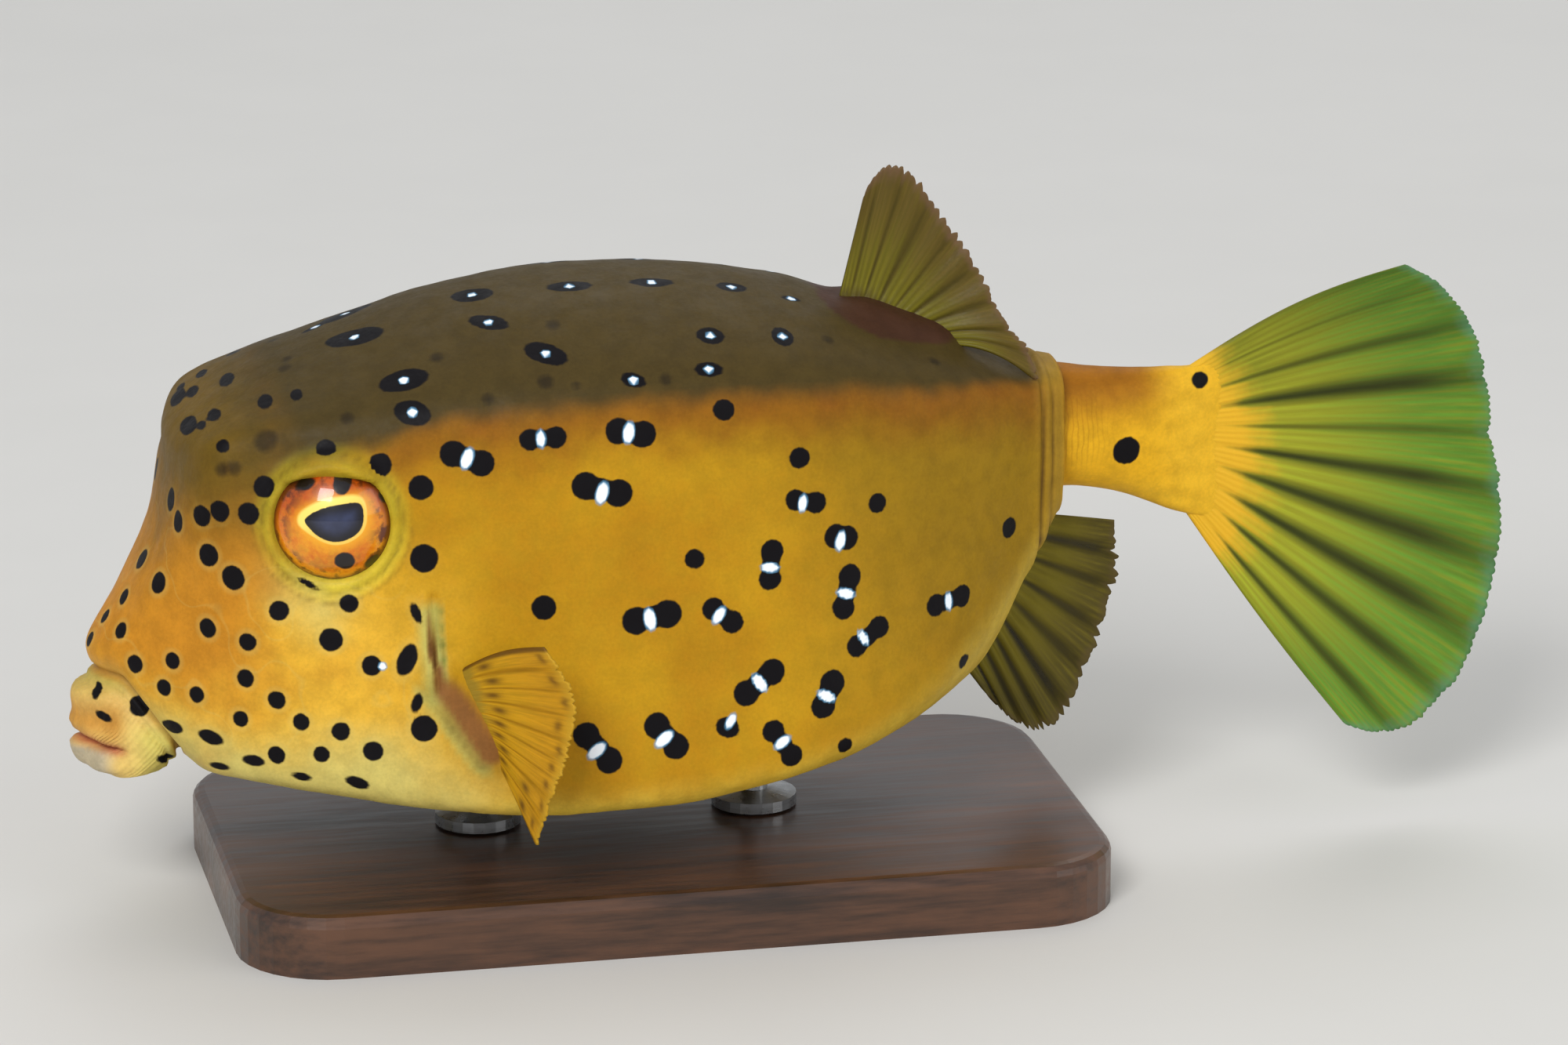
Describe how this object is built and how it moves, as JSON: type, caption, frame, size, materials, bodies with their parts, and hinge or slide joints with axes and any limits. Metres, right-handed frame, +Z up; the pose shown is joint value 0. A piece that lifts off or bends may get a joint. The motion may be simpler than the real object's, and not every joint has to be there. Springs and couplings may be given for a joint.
{
  "type": "yellow boxfish display model",
  "caption": "Life-size yellow boxfish with a spotted box-shaped carapace and spread ray fins, held on a low flat stand by short rods.",
  "frame": {"origin": "on the floor under the stand, below the middle of the whole model's box", "axes": "+X from the snout towards the tail, +Y towards the fish's right side, +Z up"},
  "size_m": [0.1868, 0.08, 0.0922],
  "materials": {
    "skin_yellow": "smooth moist fish skin over bony plates, mustard yellow with black and white spots and a grey back",
    "lip_skin": "soft wrinkled fish skin, cream and tan",
    "eye_gloss": "wet glossy eye, orange iris with a dark pupil",
    "tail_skin": "soft golden fish skin with fine cross wrinkles",
    "fin_membrane": "thin translucent fin membrane, yellow-green with raised rays",
    "stand_wood": "dark stained wood, satin",
    "stand_metal": "brushed steel, turned"
  },
  "bodies": {
    "root": {"head": "skin_yellow", "carapace": "skin_yellow", "lip_upper": "lip_skin", "lip_lower": "lip_skin", "eye_left": "eye_gloss", "eye_right": "eye_gloss", "tail_stalk": "tail_skin", "tail_fin": "fin_membrane", "dorsal_fin": "fin_membrane", "anal_fin": "fin_membrane", "pectoral_fin_left": "fin_membrane", "pectoral_fin_right": "fin_membrane", "stand_base": "stand_wood", "stand_rod_front": "stand_metal", "stand_rod_rear": "stand_metal"}
  },
  "joints": []
}
